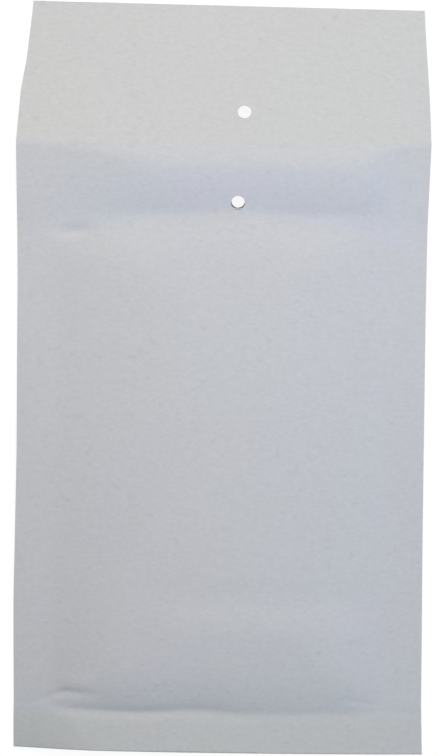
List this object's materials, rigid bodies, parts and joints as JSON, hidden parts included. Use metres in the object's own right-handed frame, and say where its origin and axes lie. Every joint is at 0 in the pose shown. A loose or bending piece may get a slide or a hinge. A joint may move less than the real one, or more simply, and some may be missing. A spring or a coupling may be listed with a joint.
{
  "type": "bubble mailer",
  "caption": "Small white paper mailer with a bubble lining, welded side seams, a turned-up bottom hem and a punched peel-and-seal flap that folds over the mouth.",
  "frame": {"origin": "middle of the flat part of the back, on the surface that the mailer lies on", "axes": "+X across the width, +Y from the bottom hem to the flap, +Z out of the address side"},
  "size_m": [0.12, 0.219, 0.011],
  "materials": {
    "outer_paper": "uncoated white paper, fine fibre mottle",
    "lining_film": "clear polyethylene film",
    "bubble_film": "formed clear polyethylene film",
    "welded_film": "polyethylene pressed flat by the weld",
    "hot_melt": "set hot-melt glue",
    "adhesive": "pressure-sensitive adhesive film",
    "liner_paper": "silicone-coated release paper"
  },
  "bodies": {
    "pouch": {"front_panel": "outer_paper", "back_panel": "outer_paper", "bottom_hem": "outer_paper", "hem_glue": "hot_melt", "left_seam": "welded_film", "right_seam": "welded_film", "bottom_weld": "welded_film", "front_lining_film": "lining_film", "front_bubble_sheet": "bubble_film", "back_lining_film": "lining_film", "back_bubble_sheet": "bubble_film", "front_lining_glue": "hot_melt", "back_lining_glue": "hot_melt"},
    "flap": {"closing_flap": "outer_paper", "adhesive_strip": "adhesive"},
    "liner": {"release_liner": "liner_paper"}
  },
  "joints": [
    {"name": "flap_fold", "type": "hinge", "parent": "pouch", "child": "flap", "pos_m": [0, 0.0875, 0.0057], "axis": [-1, 0, 0], "range_deg": [-14, 161]},
    {"name": "liner_peel", "type": "slide", "parent": "flap", "child": "liner", "axis": [1, 0, 0], "range_m": [0, 0.12]}
  ]
}
